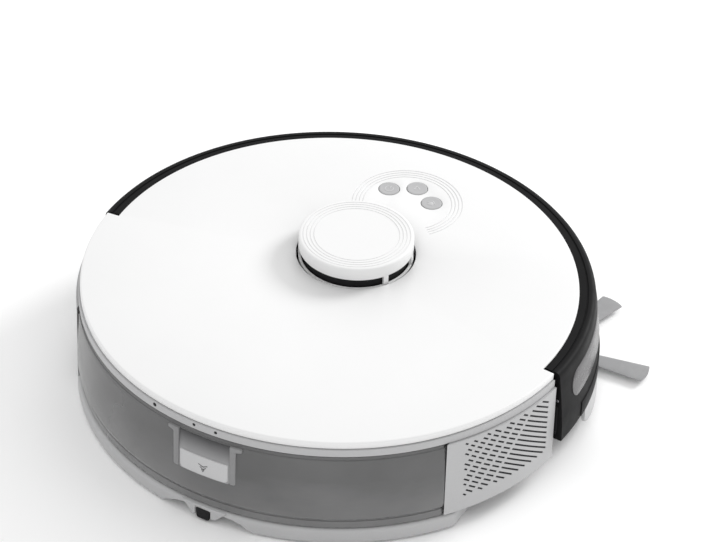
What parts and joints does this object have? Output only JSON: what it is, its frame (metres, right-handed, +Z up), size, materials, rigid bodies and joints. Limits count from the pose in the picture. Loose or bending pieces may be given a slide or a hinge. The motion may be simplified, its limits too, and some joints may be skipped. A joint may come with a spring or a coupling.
{
  "type": "robot vacuum",
  "caption": "Round robot floor cleaner with a laser turret, sprung front bumper, side brush, drive wheels, rear bin with water tank and a mop plate.",
  "frame": {"origin": "on the floor under the centre of the round body", "axes": "+Y is the direction of travel (bumper side), +X is the machine's right, +Z is up"},
  "size_m": [0.3588, 0.3484, 0.0976],
  "materials": {
    "white_gloss": "satin white moulded plastic",
    "light_grey": "fine textured light grey plastic",
    "mid_grey": "textured mid grey plastic",
    "bumper_black": "satin black plastic",
    "strip_grey": "soft dark grey plastic",
    "sensor_window": "smoked infrared-clear plastic",
    "smoke_tank": "smoked clear plastic",
    "inner_black": "matt black plastic",
    "button_grey": "light grey keys",
    "circuit_board": "green solder mask",
    "battery_wrap": "blue shrink wrap",
    "motor_steel": "small motor can in a plastic holder",
    "contact_metal": "plated contact strips",
    "screw_steel": "plated steel",
    "axle_steel": "ground steel",
    "tyre_rubber": "ribbed rubber",
    "brush_rubber": "soft rubber blades",
    "arm_rubber": "light grey flexible arms",
    "belt_rubber": "thin rubber belt",
    "filter_paper": "pleated filter paper",
    "mop_cloth": "looped microfibre cloth"
  },
  "bodies": {
    "root": {"chassis_pan": "light_grey", "upper_housing": "light_grey", "side_panel_left": "light_grey", "side_panel_right": "light_grey", "top_cover": "white_gloss", "button_board": "circuit_board", "main_board": "circuit_board", "battery_pack": "battery_wrap", "battery_cover": "mid_grey", "cliff_windows": "sensor_window", "charge_contacts": "contact_metal", "chassis_screws": "screw_steel", "turret_base": "inner_black", "turret_cap": "white_gloss", "lidar_motor": "motor_steel", "lidar_belt": "belt_rubber", "brush_chamber": "inner_black", "brush_guard": "mid_grey", "brush_end_bearing": "inner_black", "brush_gearbox": "inner_black", "fan_housing": "inner_black", "wheel_housing_left": "inner_black", "wheel_housing_right": "inner_black", "side_brush_motor": "motor_steel", "caster_socket": "inner_black"},
    "bumper": {"bumper_shell": "bumper_black", "bumper_strip": "strip_grey", "bumper_skirt": "light_grey", "bumper_sensor_windows": "sensor_window"},
    "button_left": {"button_left": "button_grey"},
    "button_middle": {"button_middle": "button_grey"},
    "button_right": {"button_right": "button_grey"},
    "laser_drum": {"lidar_rotor": "inner_black", "lidar_pulley": "inner_black"},
    "laser_drive": {"lidar_motor_pulley": "inner_black"},
    "impeller": {"fan_impeller": "inner_black"},
    "main_brush": {"main_brush_core": "inner_black", "main_brush_fins": "brush_rubber"},
    "side_brush": {"side_brush_hub": "light_grey", "side_brush_arms": "arm_rubber"},
    "arm_left": {"wheel_arm_left": "inner_black"},
    "arm_right": {"wheel_arm_right": "inner_black"},
    "wheel_left": {"wheel_rim_left": "mid_grey", "wheel_tyre_left": "tyre_rubber"},
    "wheel_right": {"wheel_rim_right": "mid_grey", "wheel_tyre_right": "tyre_rubber"},
    "caster_fork": {"caster_yoke": "light_grey", "caster_axle": "axle_steel"},
    "caster_roller": {"caster_wheel": "inner_black"},
    "bin": {"tank_shell": "smoke_tank", "bin_lid": "smoke_tank", "tank_plug": "brush_rubber", "dust_box": "inner_black", "filter_frame": "mid_grey", "filter_pleats": "filter_paper", "latch_frame": "mid_grey"},
    "latch": {"bin_latch": "light_grey"},
    "mop": {"mop_plate": "mid_grey", "mop_pad": "mop_cloth"},
    "mop_tab": {"mop_release": "inner_black"}
  },
  "joints": [
    {"name": "bumper_slide", "type": "slide", "parent": "root", "child": "bumper", "axis": [0, -1, 0], "range_m": [0, 0.0025], "stiffness_N_per_m": 500, "springref_m": -0.003},
    {"name": "button_left_press", "type": "slide", "parent": "root", "child": "button_left", "axis": [0, 0, -1], "range_m": [0, 0.0006], "stiffness_N_per_m": 400, "springref_m": -0.0003},
    {"name": "button_middle_press", "type": "slide", "parent": "root", "child": "button_middle", "axis": [0, 0, -1], "range_m": [0, 0.0006], "stiffness_N_per_m": 400, "springref_m": -0.0003},
    {"name": "button_right_press", "type": "slide", "parent": "root", "child": "button_right", "axis": [0, 0, -1], "range_m": [0, 0.0006], "stiffness_N_per_m": 400, "springref_m": -0.0003},
    {"name": "laser_spin", "type": "hinge", "parent": "root", "child": "laser_drum", "pos_m": [-0.003, 0.032, 0.08], "axis": [0, 0, 1], "continuous": true},
    {"name": "laser_motor_spin", "type": "hinge", "parent": "root", "child": "laser_drive", "pos_m": [-0.059, 0.032, 0.07], "axis": [0, 0, 1], "continuous": true},
    {"name": "fan_spin", "type": "hinge", "parent": "root", "child": "impeller", "pos_m": [0.044, -0.034, 0.03], "axis": [0, 0, 1], "continuous": true},
    {"name": "main_brush_spin", "type": "hinge", "parent": "root", "child": "main_brush", "pos_m": [0.006, 0.018, 0.0215], "axis": [1, 0, 0], "continuous": true},
    {"name": "side_brush_spin", "type": "hinge", "parent": "root", "child": "side_brush", "pos_m": [0.113, 0.098, 0.008], "axis": [0, 0, 1], "continuous": true},
    {"name": "suspension_left", "type": "hinge", "parent": "root", "child": "arm_left", "pos_m": [-0.09, -0.038, 0.04], "axis": [-1, 0, 0], "range_deg": [0, 10], "stiffness_Nm_per_rad": 0.35, "springref_deg": 35.52},
    {"name": "suspension_right", "type": "hinge", "parent": "root", "child": "arm_right", "pos_m": [0.09, -0.038, 0.04], "axis": [-1, 0, 0], "range_deg": [0, 10], "stiffness_Nm_per_rad": 0.35, "springref_deg": 35.52},
    {"name": "wheel_left_spin", "type": "hinge", "parent": "arm_left", "child": "wheel_left", "pos_m": [-0.105, 0, 0.035], "axis": [1, 0, 0], "continuous": true},
    {"name": "wheel_right_spin", "type": "hinge", "parent": "arm_right", "child": "wheel_right", "pos_m": [0.105, 0, 0.035], "axis": [1, 0, 0], "continuous": true},
    {"name": "caster_swivel", "type": "hinge", "parent": "root", "child": "caster_fork", "pos_m": [0, 0.125, 0.033], "axis": [0, 0, 1], "continuous": true},
    {"name": "caster_roll", "type": "hinge", "parent": "caster_fork", "child": "caster_roller", "pos_m": [0, 0.119, 0.012], "axis": [1, 0, 0], "continuous": true},
    {"name": "bin_slide", "type": "slide", "parent": "root", "child": "bin", "axis": [0, -1, 0], "range_m": [0, 0.115]},
    {"name": "latch_press", "type": "slide", "parent": "bin", "child": "latch", "axis": [0, 1, 0], "range_m": [0, 0.0025], "stiffness_N_per_m": 500, "springref_m": -0.001},
    {"name": "mop_slide", "type": "slide", "parent": "bin", "child": "mop", "axis": [0, -1, 0], "range_m": [0, 0.095]},
    {"name": "mop_tab_press", "type": "slide", "parent": "mop", "child": "mop_tab", "axis": [0, 1, 0], "range_m": [0, 0.0025], "stiffness_N_per_m": 500, "springref_m": -0.001}
  ],
  "couplings": [
    {"joint": "laser_motor_spin", "follows": "laser_spin", "ratio": 5}
  ]
}
